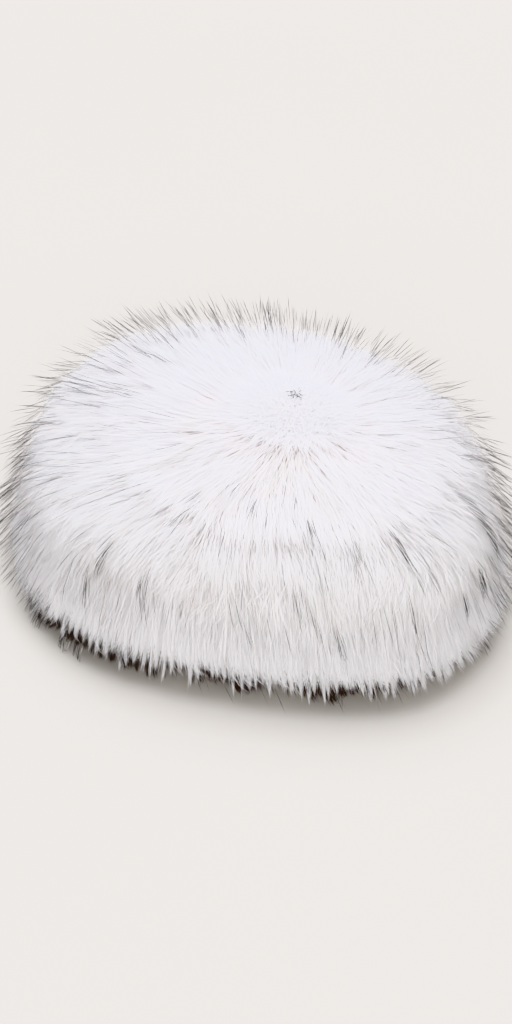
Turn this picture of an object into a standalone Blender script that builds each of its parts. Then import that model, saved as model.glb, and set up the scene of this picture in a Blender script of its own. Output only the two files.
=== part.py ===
"""A turkmen telpek: a domed hat of deep, long-haired white fur, lying crown up on its hem.

Metres, +Z up. The hat's long axis runs along Y with its front towards -Y, and the origin is the middle of
its foot. A leather cap holds the head. The fur round it is three bodies of locks, each fused to a backing:
the crown, which radiates from a whorl, the side wall, and the hem that the hat stands on.
"""

import math
import random
from typing import NamedTuple

import bmesh
import bpy
import numpy as np
from mathutils import Matrix

# Head hollow and the leather cap round it
HEAD_WIDTH = 0.165
HEAD_LENGTH = 0.197
HOLLOW_HEIGHT = 0.099
SKIN_WALL = 0.0025
RIM_LIFT = 0.004
CAP_FULLNESS = 2.4
CAP_COLUMNS = 40
CAP_RINGS = 8

# Depth of the fur from the leather to the tips of its locks
SIDE_PILE = 0.045
END_PILE = 0.056
CROWN_PILE = 0.0245

# The outer form: where it is widest, how far it draws in at the foot, and where its whorl lies
BELLY_HEIGHT = 0.058
HEM_TUCK = 0.004
WHORL_FORWARD = 0.026
CROWN_FULLNESS = 2.15
FORM_SAMPLES = 400

# Locks: the step from a lock's tip down to the root of the next one, and the number round the hat
LOCK_LIFT = 0.010
LOCKS_ROUND = 28
COLUMNS_PER_LOCK = 4
PIECE_GAP = 0.0003
SEED = 11
ROUNDING = 1e-6


class Lobe(NamedTuple):
    """One slow wave of the outline seen from above.

    Columns: waves round the hat, share of the reach, bearing of a crest in degrees.
    """

    waves: int
    share: float
    bearing: float


LOBES = (
    Lobe(waves=3, share=0.017, bearing=36.0),
    Lobe(waves=4, share=0.028, bearing=-11.0),
)


class Row(NamedTuple):
    """One row of locks.

    Columns: its piece, where it ends as a share of the way from the whorl to the foot, its locks as a share
    of LOCKS_ROUND, its step as a share of LOCK_LIFT, and its tips' overhang as a share of its length.
    """

    piece: str
    end: float
    locks: float
    lift: float
    overhang: float


ROWS = (
    Row("crown_fur", end=0.13, locks=0.5, lift=0.45, overhang=0.12),
    Row("crown_fur", end=0.29, locks=1.0, lift=0.70, overhang=0.14),
    Row("crown_fur", end=0.45, locks=1.0, lift=0.90, overhang=0.14),
    Row("side_fur", end=0.59, locks=1.0, lift=1.00, overhang=0.22),
    Row("side_fur", end=0.73, locks=1.0, lift=1.00, overhang=0.24),
    Row("side_fur", end=0.86, locks=1.0, lift=1.00, overhang=0.12),
    Row("hem_fur", end=0.94, locks=1.0, lift=0.90, overhang=0.25),
    Row("hem_fur", end=1.00, locks=1.0, lift=0.80, overhang=0.00),
)


class Ring(NamedTuple):
    """One ring of a row of locks.

    Columns: the way along the row between two locks and at a lock's middle, then the depth below the tips in
    the same two places. All are shares, of the row's length and of its step.
    """

    along_gap: float
    along_lock: float
    depth_gap: float
    depth_lock: float


LOCK_RINGS = (
    Ring(along_gap=0.24, along_lock=0.28, depth_gap=0.88, depth_lock=0.52),
    Ring(along_gap=0.46, along_lock=0.68, depth_gap=0.78, depth_lock=0.06),
    Ring(along_gap=0.66, along_lock=1.00, depth_gap=0.86, depth_lock=0.10),
)
TIP_VARY = 0.10
LIFT_VARY = 0.16
SWAY = 0.30

SKIN_COLOUR = (0.56, 0.45, 0.34, 1.0)
CROWN_COLOUR = (0.88, 0.87, 0.88, 1.0)
SIDE_COLOUR = (0.84, 0.82, 0.82, 1.0)
HEM_COLOUR = (0.74, 0.70, 0.67, 1.0)
SKIN_ROUGHNESS = 0.75
FUR_ROUGHNESS = 0.90

COLUMNS = LOCKS_ROUND * COLUMNS_PER_LOCK
HALF_WIDTH = HEAD_WIDTH / 2 + SKIN_WALL + SIDE_PILE
HALF_LENGTH = HEAD_LENGTH / 2 + SKIN_WALL + END_PILE
HEIGHT = HOLLOW_HEIGHT + SKIN_WALL + CROWN_PILE


def spaced_evenly(reach, height, scale):
    """A section's shares of reach and height, resampled so that equal steps are equal lengths along it."""
    steps = np.hypot(np.diff(reach) * scale, np.diff(height))
    along = np.concatenate([[0.0], np.cumsum(steps)])
    even = np.linspace(0.0, along[-1], len(along))
    return np.interp(even, along, reach), np.interp(even, along, height)


def fur_section():
    """Shares of reach and heights from the whorl, over the belly, to the foot."""
    turn = np.linspace(0.0, math.pi / 2, FORM_SAMPLES)
    power = 2 / CROWN_FULLNESS
    top_reach = np.sin(turn) ** power
    top_height = BELLY_HEIGHT + (HEIGHT - BELLY_HEIGHT) * np.cos(turn).clip(0.0) ** power
    foot_reach = 1 - HEM_TUCK / HALF_WIDTH * (1 - np.cos(turn[1:]))
    foot_height = BELLY_HEIGHT * (1 - np.sin(turn[1:]))
    reach = np.concatenate([top_reach, foot_reach])
    height = np.concatenate([top_height, foot_height])
    return spaced_evenly(reach, height, HALF_WIDTH)


def cap_section(top):
    """Shares of reach and heights of a cap whose highest point is at top, down to its rim."""
    turn = np.linspace(0.0, math.pi / 2, FORM_SAMPLES)
    power = 2 / CAP_FULLNESS
    reach = np.sin(turn) ** power
    height = RIM_LIFT + (top - RIM_LIFT) * np.cos(turn).clip(0.0) ** power
    return spaced_evenly(reach, height, HEAD_WIDTH / 2)


def at_share(section, share):
    """(share of reach, height) of a section at a share of the way down it."""
    reach, height = section
    place = share * (len(reach) - 1)
    grid = np.arange(len(reach))
    return float(np.interp(place, grid, reach)), float(np.interp(place, grid, height))


FUR_SECTION = fur_section()
BACKING_SECTION = cap_section(HOLLOW_HEIGHT + SKIN_WALL + PIECE_GAP)
SKIN_SECTION = cap_section(HOLLOW_HEIGHT + SKIN_WALL)
LINING_SECTION = cap_section(HOLLOW_HEIGHT)


def lobed(bearing):
    """The outline's reach at a bearing, as a share of the plain oval's."""
    return 1 + sum(
        lobe.share * math.cos(lobe.waves * (bearing - math.radians(lobe.bearing)))
        for lobe in LOBES
    )


def whorl_shift(height):
    """How far forward the outer form is drawn at a height: all of it at the top, nothing at the belly."""
    rise = max(0.0, height - BELLY_HEIGHT) / (HEIGHT - BELLY_HEIGHT)
    return WHORL_FORWARD * rise**2


def tip_point(share, bearing):
    """A point of the outer form, which the locks' tips reach."""
    reach, height = at_share(FUR_SECTION, share)
    grown = reach * (1 + (lobed(bearing) - 1) * reach)
    x = HALF_WIDTH * grown * math.cos(bearing)
    y = HALF_LENGTH * grown * math.sin(bearing) - whorl_shift(height)
    return np.array([x, y, height])


def oval_point(section, share, bearing, grown):
    """A point of a cap whose head oval is grown by a wall."""
    reach, height = at_share(section, share)
    x = (HEAD_WIDTH / 2 + grown) * reach * math.cos(bearing)
    y = (HEAD_LENGTH / 2 + grown) * reach * math.sin(bearing)
    return np.array([x, y, height])


def backing_point(share, bearing):
    """A point of the fur's inner face, just clear of the leather."""
    return oval_point(BACKING_SECTION, share, bearing, SKIN_WALL + PIECE_GAP)


def fur_point(share, bearing, depth):
    """A point at a depth below the locks' tips, on the line from the outer form in to the backing."""
    tip = tip_point(share, bearing)
    inward = backing_point(share, bearing) - tip
    pile = float(np.linalg.norm(inward))
    return tip + inward * min(depth / pile, 1.0)


def bearings(count):
    """Equal bearings round the hat, in radians."""
    return [2 * math.pi * i / count for i in range(count)]


def lock_draws(row, number):
    """How one lock differs from its neighbours: in length, in fullness and in its sway to one side."""
    draw = random.Random(SEED + 1000 * ROWS.index(row) + number)
    return (
        draw.uniform(-TIP_VARY, TIP_VARY),
        1 + draw.uniform(-LIFT_VARY, LIFT_VARY),
        draw.uniform(-SWAY, SWAY),
    )


def lock_points(row, ring, start):
    """The points of one ring of a row of locks, which starts at a share of the way down."""
    length = row.end - start
    locks = max(1, round(LOCKS_ROUND * row.locks))
    stagger = 0.5 * (ROWS.index(row) % 2)
    points = []
    for bearing in bearings(COLUMNS):
        place = locks * bearing / (2 * math.pi) + stagger + ROUNDING
        within = place - math.floor(place)
        middle = 1 - abs(2 * within - 1)
        longer, fuller, sway = lock_draws(row, math.floor(place) % locks)
        reach = ring.along_lock + (longer + row.overhang) * ring.along_lock**3
        along = ring.along_gap + (reach - ring.along_gap) * middle
        depth = ring.depth_gap + (ring.depth_lock - ring.depth_gap) * middle
        turn = sway * middle * ring.along_lock * math.pi / locks
        share = min(start + along * length, 1.0)
        points.append(fur_point(share, bearing + turn, depth * fuller * LOCK_LIFT * row.lift))
    return points


def plain_ring(share, depth):
    """A ring at one share of the way down and one depth below the tips."""
    return [fur_point(share, bearing, depth) for bearing in bearings(COLUMNS)]


def backing_ring(share):
    """A ring of the fur's inner face."""
    return [backing_point(share, bearing) for bearing in bearings(COLUMNS)]


def cap_shares(start, end):
    """Shares of the way down at which the leather has a ring between two others, from the lower one up."""
    shares = [i / CAP_RINGS for i in range(1, CAP_RINGS + 1)]
    return [share for share in reversed(shares) if start < share < end]


def gap_share(share):
    """The step, as a share of the way down, that leaves one gap between two pieces."""
    step = 0.01
    outer = tip_point(share + step, 0.0) - tip_point(share, 0.0)
    inner = backing_point(share + step, 0.0) - backing_point(share, 0.0)
    shortest = min(float(np.linalg.norm(outer)), float(np.linalg.norm(inner)))
    return step * PIECE_GAP / shortest


def fur_rings(piece):
    """The rings of a fur piece, from its first root over its rows of locks and back up its backing."""
    rows = [row for row in ROWS if row.piece == piece]
    first = ROWS.index(rows[0])
    start = ROWS[first - 1].end if first else 0.0
    step = LOCK_LIFT * ROWS[max(first - 1, 0)].lift
    rings = []
    for row, row_start in zip(rows, [start] + [row.end for row in rows]):
        if row_start > 0.0:
            rings.append(plain_ring(row_start, step))
        rings.extend(lock_points(row, ring, row_start) for ring in LOCK_RINGS)
        step = LOCK_LIFT * row.lift
    end = rows[-1].end
    if end < 1.0:
        end -= gap_share(end)
        rings.append(plain_ring(end, step))
        rings.append(backing_ring(end))
    else:
        rings.extend(foot_rings(step))
    rings.extend(backing_ring(share) for share in cap_shares(start, end))
    if start > 0.0:
        rings.append(backing_ring(start))
    return rings


def foot_rings(lift):
    """The flat foot: its outer edge under the hem's tips, its inner edge, and the backing's lower end."""
    outer, inner = [], []
    for bearing in bearings(COLUMNS):
        edge = tip_point(1.0, bearing)
        heel = backing_point(1.0, bearing) * np.array([1.0, 1.0, 0.0])
        inward = heel - edge
        outer.append(edge + inward * min(lift / float(np.linalg.norm(inward)), 1.0))
        inner.append(heel)
    return [outer, inner, backing_ring(1.0)]


def skin_rings():
    """The leather cap's rings: down its outer face, round its rim, and up its inner face."""
    down = [i / CAP_RINGS for i in range(1, CAP_RINGS + 1)]
    outer = [
        [oval_point(SKIN_SECTION, share, bearing, SKIN_WALL) for bearing in bearings(CAP_COLUMNS)]
        for share in down
    ]
    inner = [
        [oval_point(LINING_SECTION, share, bearing, 0.0) for bearing in bearings(CAP_COLUMNS)]
        for share in reversed(down)
    ]
    return outer + inner


def material(name, colour, roughness):
    """A plain finish."""
    made = bpy.data.materials.new(name)
    made.use_nodes = True
    shader = made.node_tree.nodes["Principled BSDF"]
    shader.inputs["Base Color"].default_value = colour
    shader.inputs["Roughness"].default_value = roughness
    return made


def join_rings(mesh, upper, lower):
    """Faces between two rings, facing out where the first lies above the second."""
    count = len(upper)
    for i in range(count):
        j = (i + 1) % count
        mesh.faces.new((upper[i], lower[i], lower[j], upper[j]))


def close_pole(mesh, pole, ring, below):
    """Fans a ring to its pole. The ring lies below the pole in the order of the rings, or else above it."""
    count = len(ring)
    for i in range(count):
        j = (i + 1) % count
        mesh.faces.new((pole, ring[i], ring[j]) if below else (ring[j], ring[i], pole))


def make_body(name, rings, finish, poles=None):
    """One closed body through its rings in order. With no poles the last ring joins the first."""
    mesh = bmesh.new()
    loops = [[mesh.verts.new(point) for point in ring] for ring in rings]
    for upper, lower in zip(loops, loops[1:]):
        join_rings(mesh, upper, lower)
    if poles:
        close_pole(mesh, mesh.verts.new(poles[0]), loops[0], below=True)
        close_pole(mesh, mesh.verts.new(poles[1]), loops[-1], below=False)
    else:
        join_rings(mesh, loops[-1], loops[0])
    bmesh.ops.triangulate(mesh, faces=mesh.faces)
    data = bpy.data.meshes.new(name)
    mesh.to_mesh(data)
    mesh.free()
    data.shade_smooth()
    data.materials.append(finish)
    made = bpy.data.objects.new(name, data)
    bpy.context.scene.collection.objects.link(made)
    return made


def make_cap_skin():
    """The pelt's leather side: a hollow cap, open below."""
    finish = material("pelt_leather", SKIN_COLOUR, SKIN_ROUGHNESS)
    poles = [(0.0, 0.0, HOLLOW_HEIGHT + SKIN_WALL), (0.0, 0.0, HOLLOW_HEIGHT)]
    return make_body("cap_skin", skin_rings(), finish, poles)


def make_crown_fur():
    """The crown's locks, which radiate from the whorl."""
    finish = material("crown_pile", CROWN_COLOUR, FUR_ROUGHNESS)
    whorl = fur_point(0.0, 0.0, LOCK_LIFT * ROWS[0].lift)
    poles = [whorl, backing_point(0.0, 0.0)]
    return make_body("crown_fur", fur_rings("crown_fur"), finish, poles)


def make_side_fur():
    """The side wall's locks, which hang from the crown's edge to the hem."""
    finish = material("side_pile", SIDE_COLOUR, FUR_ROUGHNESS)
    return make_body("side_fur", fur_rings("side_fur"), finish)


def make_hem_fur():
    """The fringe of locks round the lower edge, with the flat foot that the hat stands on."""
    finish = material("hem_pile", HEM_COLOUR, FUR_ROUGHNESS)
    return make_body("hem_fur", fur_rings("hem_fur"), finish)


def centre_on_origin(pieces):
    """Moves the pieces together, so that the middle of their outline seen from above is the origin."""
    corners = [vertex.co for piece in pieces for vertex in piece.data.vertices]
    middle = [(min(c[axis] for c in corners) + max(c[axis] for c in corners)) / 2 for axis in (0, 1)]
    for piece in pieces:
        piece.data.transform(Matrix.Translation((-middle[0], -middle[1], 0.0)))


def main():
    for old in list(bpy.data.objects):
        bpy.data.objects.remove(old)
    centre_on_origin([make_cap_skin(), make_crown_fur(), make_side_fur(), make_hem_fur()])


main()
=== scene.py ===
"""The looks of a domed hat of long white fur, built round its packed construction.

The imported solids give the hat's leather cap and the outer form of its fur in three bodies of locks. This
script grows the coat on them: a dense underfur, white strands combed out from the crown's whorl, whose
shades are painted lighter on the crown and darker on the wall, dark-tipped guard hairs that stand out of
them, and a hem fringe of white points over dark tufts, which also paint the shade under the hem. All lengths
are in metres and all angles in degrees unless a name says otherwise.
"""

import logging
import math
from dataclasses import dataclass, field
from enum import Enum

import bmesh
import bpy
import numpy as np
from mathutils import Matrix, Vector, kdtree


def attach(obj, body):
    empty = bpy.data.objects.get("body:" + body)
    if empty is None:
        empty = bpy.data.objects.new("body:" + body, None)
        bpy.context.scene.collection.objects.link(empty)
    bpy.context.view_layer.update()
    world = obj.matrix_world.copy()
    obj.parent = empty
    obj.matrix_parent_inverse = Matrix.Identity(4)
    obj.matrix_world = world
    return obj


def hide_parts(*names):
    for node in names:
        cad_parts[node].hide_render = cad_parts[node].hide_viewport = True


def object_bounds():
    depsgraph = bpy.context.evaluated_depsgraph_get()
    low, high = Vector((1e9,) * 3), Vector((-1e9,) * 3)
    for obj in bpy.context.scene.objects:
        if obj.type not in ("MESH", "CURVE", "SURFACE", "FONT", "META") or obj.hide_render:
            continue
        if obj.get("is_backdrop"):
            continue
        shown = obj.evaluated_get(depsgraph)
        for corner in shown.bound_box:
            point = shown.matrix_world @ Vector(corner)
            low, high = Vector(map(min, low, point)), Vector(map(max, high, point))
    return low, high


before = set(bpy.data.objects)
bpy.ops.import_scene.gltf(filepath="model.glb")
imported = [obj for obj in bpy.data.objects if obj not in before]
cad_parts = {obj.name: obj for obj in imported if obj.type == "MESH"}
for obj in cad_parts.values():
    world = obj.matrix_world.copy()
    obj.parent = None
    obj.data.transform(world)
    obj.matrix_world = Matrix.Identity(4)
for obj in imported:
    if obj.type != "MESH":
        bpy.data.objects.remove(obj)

LOG = logging.getLogger("fur_hat")
BODY = "root"
BAKE_MAP = "OFBake"
SHADES = 64
HALF_COLUMN = 0.32
SPINE_RISE = 0.012
MAP_LOW = 0.02
MAP_SPAN = 0.96
SEED = 41
FLOOR_CLEARANCE = 0.0004
PHOTO_WIDTH = 512
PHOTO_HEIGHT = 1024
FULL_TURN = 2 * math.pi
UP = np.array([0.0, 0.0, 1.0])


class Slot(Enum):
    """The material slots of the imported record."""

    LEATHER = "pelt_leather"
    CROWN = "crown_pile"
    SIDE = "side_pile"
    HEM = "hem_pile"


def linear(code: str) -> tuple[float, float, float, float]:
    """Turn an sRGB hex colour into Blender's linear colour.

    Args:
        code: Six hex digits, as in "F4F1EE".

    Returns:
        Linear red, green and blue, and an alpha of 1.
    """
    parts = [int(code[i : i + 2], 16) / 255 for i in (0, 2, 4)]
    red, green, blue = (c / 12.92 if c <= 0.04045 else ((c + 0.055) / 1.055) ** 2.4 for c in parts)
    return red, green, blue, 1.0


def add_node(tree: bpy.types.NodeTree, kind: str, settings: dict, links: dict) -> bpy.types.Node:
    """Add a node with its settings and links.

    Args:
        tree: The node tree that it goes into.
        kind: The node's type name.
        settings: Values by the name of a property, or else by the name or number of an input.
        links: Output sockets by the name or number of the input that each one feeds.

    Returns:
        The new node.
    """
    node = tree.nodes.new(kind)
    for name, value in settings.items():
        if isinstance(name, str) and hasattr(node, name):
            setattr(node, name, value)
        else:
            node.inputs[name].default_value = value
    for name, source in links.items():
        tree.links.new(source, node.inputs[name])
    return node


def add_ramp(
    tree: bpy.types.NodeTree, source: bpy.types.NodeSocket, stops: tuple
) -> bpy.types.NodeSocket:
    """Add a colour ramp that reads a value.

    Args:
        tree: The node tree that it goes into.
        source: The output socket that it reads.
        stops: Pairs of place and hex colour, in order.

    Returns:
        The ramp's colour output.
    """
    ramp = add_node(tree, "ShaderNodeValToRGB", {}, {"Fac": source})
    elements = ramp.color_ramp.elements
    while len(elements) < len(stops):
        elements.new(1.0)
    for element, (place, code) in zip(elements, stops):
        element.position = place
        element.color = linear(code)
    return ramp.outputs["Color"]


def multiplied(
    tree: bpy.types.NodeTree, first: bpy.types.NodeSocket, second: bpy.types.NodeSocket
) -> bpy.types.NodeSocket:
    """Multiply two colours.

    Args:
        tree: The node tree that the product goes into.
        first: One colour output.
        second: The other colour output.

    Returns:
        The product's colour output.
    """
    settings = {"data_type": "RGBA", "blend_type": "MULTIPLY", 0: 1.0}
    return add_node(tree, "ShaderNodeMix", settings, {6: first, 7: second}).outputs[2]


def new_material(name: str) -> tuple[bpy.types.Material, bpy.types.NodeTree, bpy.types.Node]:
    """Start a node material.

    Args:
        name: The finish's plain name.

    Returns:
        The material, its node tree and its Principled shader.
    """
    material = bpy.data.materials.new(name)
    material.use_nodes = True
    tree = material.node_tree
    return material, tree, tree.nodes["Principled BSDF"]


def smooth_step(low: float, high: float, value: np.ndarray) -> np.ndarray:
    """Rise smoothly from 0 at low to 1 at high, or fall where high is the smaller."""
    part = np.clip((value - low) / (high - low), 0.0, 1.0)
    return part * part * (3 - 2 * part)


def unit(vectors: np.ndarray) -> np.ndarray:
    """Scale vectors to a length of 1."""
    lengths = np.linalg.norm(vectors, axis=-1, keepdims=True)
    return vectors / np.maximum(lengths, 1e-9)


def wrapped(angle: np.ndarray) -> np.ndarray:
    """Bring angles in radians to the range from minus to plus half a turn."""
    return (angle + math.pi) % FULL_TURN - math.pi


@dataclass(frozen=True)
class HairFinish:
    """Keratin hair as it grows, matt along its length with a soft shine where light grazes it.

    Attributes:
        name: The finish's name.
        shades: Colour over the strand's shade, from the coolest strands to the warmest.
        along: Colour over the strand's length, from root to tip, which tints the shade.
        roughness: How dull the hair is, from 0 to 1.
        through: The share of light that passes on through the hair.
    """

    name: str
    shades: tuple
    along: tuple
    roughness: float
    through: float = 0.0

    def build(self) -> bpy.types.Material:
        """Make the material, which reads only the strands' own map."""
        material, tree, shader = new_material(self.name)
        place = add_node(tree, "ShaderNodeUVMap", {"uv_map": BAKE_MAP}, {})
        parts = add_node(tree, "ShaderNodeSeparateXYZ", {}, {"Vector": place.outputs["UV"]})
        shade = add_ramp(tree, parts.outputs["X"], self.shades)
        length = add_ramp(tree, parts.outputs["Y"], self.along)
        colour = multiplied(tree, shade, length)
        tree.links.new(colour, shader.inputs["Base Color"])
        shader.inputs["Roughness"].default_value = self.roughness
        shader.inputs["IOR"].default_value = 1.55
        shader.inputs["Specular IOR Level"].default_value = 0.3
        if self.through > 0:
            glow = add_node(tree, "ShaderNodeBsdfTranslucent", {}, {"Color": colour})
            parts = {1: shader.outputs["BSDF"], 2: glow.outputs["BSDF"]}
            both = add_node(tree, "ShaderNodeMixShader", {0: self.through}, parts)
            tree.links.new(both.outputs[0], tree.nodes["Material Output"].inputs["Surface"])
        return material


@dataclass(frozen=True)
class UnderfurFinish:
    """Dense woolly underfur, seen only as the soft off-white ground between the strands.

    Attributes:
        name: The finish's name.
        light: Its lighter colour.
        deep: Its deeper colour, laid where the wool's bump dips, partly the wool's mottle and partly painted
            shade in its hollows.
        tuft: The size of its woolly mottle.
    """

    name: str
    light: str
    deep: str
    tuft: float = 0.005

    def build(self) -> bpy.types.Material:
        """Make the material, mottled and bumped at the size of a tuft of wool, with painted shade where the
        bump dips.
        """
        material, tree, shader = new_material(self.name)
        place = add_node(tree, "ShaderNodeTexCoord", {}, {}).outputs["Object"]
        settings = {"Scale": 1 / self.tuft, "Detail": 4.0, "Roughness": 0.65}
        wool = add_node(tree, "ShaderNodeTexNoise", settings, {"Vector": place}).outputs["Fac"]
        # The same noise sets colour and bump, so the deeper colour is painted shade in the wool's hollows as
        # well as mottle.
        colour = add_ramp(tree, wool, ((0.35, self.deep), (0.65, self.light)))
        tree.links.new(colour, shader.inputs["Base Color"])
        bump = add_node(
            tree, "ShaderNodeBump", {"Strength": 0.8, "Distance": 0.0015}, {"Height": wool}
        )
        tree.links.new(bump.outputs["Normal"], shader.inputs["Normal"])
        shader.inputs["Roughness"].default_value = 0.9
        shader.inputs["Specular IOR Level"].default_value = 0.15
        return material


@dataclass(frozen=True)
class SuedeFinish:
    """The flesh side of a tanned pelt, a matt nap over fine pores with darker, handled patches, and painted
    shade in the pores.

    Attributes:
        name: The finish's name.
        light: The colour of the brushed nap.
        deep: The colour where the nap lies flat.
        nap: The size of the nap's grain, drawn about twice as coarse as it is so that it shows.
        patch: The size of the handled patches.
    """

    name: str = "suede_pelt_leather"
    light: str = "CDB798"
    deep: str = "A58A68"
    nap: float = 0.0008
    patch: float = 0.028

    def build(self) -> bpy.types.Material:
        """Make the material."""
        material, tree, shader = new_material(self.name)
        place = add_node(tree, "ShaderNodeTexCoord", {}, {}).outputs["Object"]
        grain = add_node(
            tree, "ShaderNodeTexNoise", {"Scale": 1 / self.nap, "Detail": 3.0}, {"Vector": place}
        ).outputs["Fac"]
        patches = add_node(
            tree, "ShaderNodeTexNoise", {"Scale": 1 / self.patch, "Detail": 3.0}, {"Vector": place}
        ).outputs["Fac"]
        wide = add_ramp(tree, patches, ((0.35, self.deep), (0.65, self.light)))
        # The fine grain darkens the colour where its bump dips: partly the grain's own tone, partly painted
        # shade in the pores.
        fine = add_ramp(tree, grain, ((0.3, "CFC8C0"), (0.7, "FFFFFF")))
        tree.links.new(multiplied(tree, wide, fine), shader.inputs["Base Color"])
        bump = add_node(
            tree, "ShaderNodeBump", {"Strength": 0.5, "Distance": 0.0004}, {"Height": grain}
        )
        tree.links.new(bump.outputs["Normal"], shader.inputs["Normal"])
        shader.inputs["Roughness"].default_value = 0.88
        shader.inputs["Sheen Weight"].default_value = 0.2
        return material


@dataclass(frozen=True)
class PaperFinish:
    """The seamless cream paper that the hat lies on, smooth and matt.

    Attributes:
        name: The finish's name.
        colour: The paper's colour.
        mottle: A colour close to it, for the paper's faint clouding.
        cloud: The size of that clouding.
    """

    name: str = "studio_paper"
    colour: str = "B5B1AA"
    mottle: str = "B3AFA8"
    cloud: float = 0.35

    def build(self) -> bpy.types.Material:
        """Make the material."""
        material, tree, shader = new_material(self.name)
        place = add_node(tree, "ShaderNodeTexCoord", {}, {}).outputs["Object"]
        clouds = add_node(
            tree, "ShaderNodeTexNoise", {"Scale": 1 / self.cloud, "Detail": 1.0}, {"Vector": place}
        ).outputs["Fac"]
        colour = add_ramp(tree, clouds, ((0.3, self.mottle), (0.7, self.colour)))
        tree.links.new(colour, shader.inputs["Base Color"])
        shader.inputs["Roughness"].default_value = 0.95
        shader.inputs["Specular IOR Level"].default_value = 0.1
        return material


# Pile shades from cool white to warm cream: partly the hair's own tone, partly painted light, lighter for
# the lit crown and darker for painted shade on the wall.
WHITE_TONES_AND_PAINTED_SHADE = ((0.0, "FEFEFF"), (0.25, "FAFAFB"), (0.55, "F2F1EF"), (1.0, "E3E0D6"))
WHITE_PILE = HairFinish(
    name="white_pile_hair",
    shades=WHITE_TONES_AND_PAINTED_SHADE,
    along=((0.0, "F0E8E0"), (0.3, "FAF6F3"), (0.6, "FEFDFD"), (1.0, "FFFFFF")),
    roughness=0.6,
    through=0.52,
)
GUARD_HAIR = HairFinish(
    name="black_tipped_guard_hair",
    shades=((0.0, "FFFFFF"), (1.0, "F2ECE8")),
    along=(
        (0.0, "FAF7F6"),
        (0.42, "F4F0EF"),
        (0.56, "6A6565"),
        (0.66, "211F20"),
        (0.84, "2A2829"),
        (1.0, "B0ACAC"),
    ),
    roughness=0.45,
)
FINE_HAIR = HairFinish(
    name="grey_tipped_guard_hair",
    shades=((0.0, "FFFFFF"), (1.0, "EDE3DC")),
    along=((0.0, "FCFAFA"), (0.60, "F6F3F2"), (0.74, "8C8685"), (0.85, "58524F"), (1.0, "9A9493")),
    roughness=0.5,
)
# Dark-tipped hem hair whose brown-black colour also paints the shade under the hem.
DARK_TUFT_AND_SHADE = HairFinish(
    name="dark_hem_tuft_hair_and_painted_shade",
    shades=((0.0, "FFFFFF"), (0.6, "E8DACE"), (1.0, "B79F8C")),
    along=((0.0, "C9B9AA"), (0.3, "96826F"), (0.55, "4C3B31"), (0.85, "2C211C"), (1.0, "40332C")),
    roughness=0.5,
)


@dataclass(frozen=True)
class Lobe:
    """A swell of the hat's plan that repeats round it.

    Attributes:
        waves: How many times it repeats.
        share: Its height as a share of the reach.
        bearing: Where its first crest is.
    """

    waves: int
    share: float
    bearing: float


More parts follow.
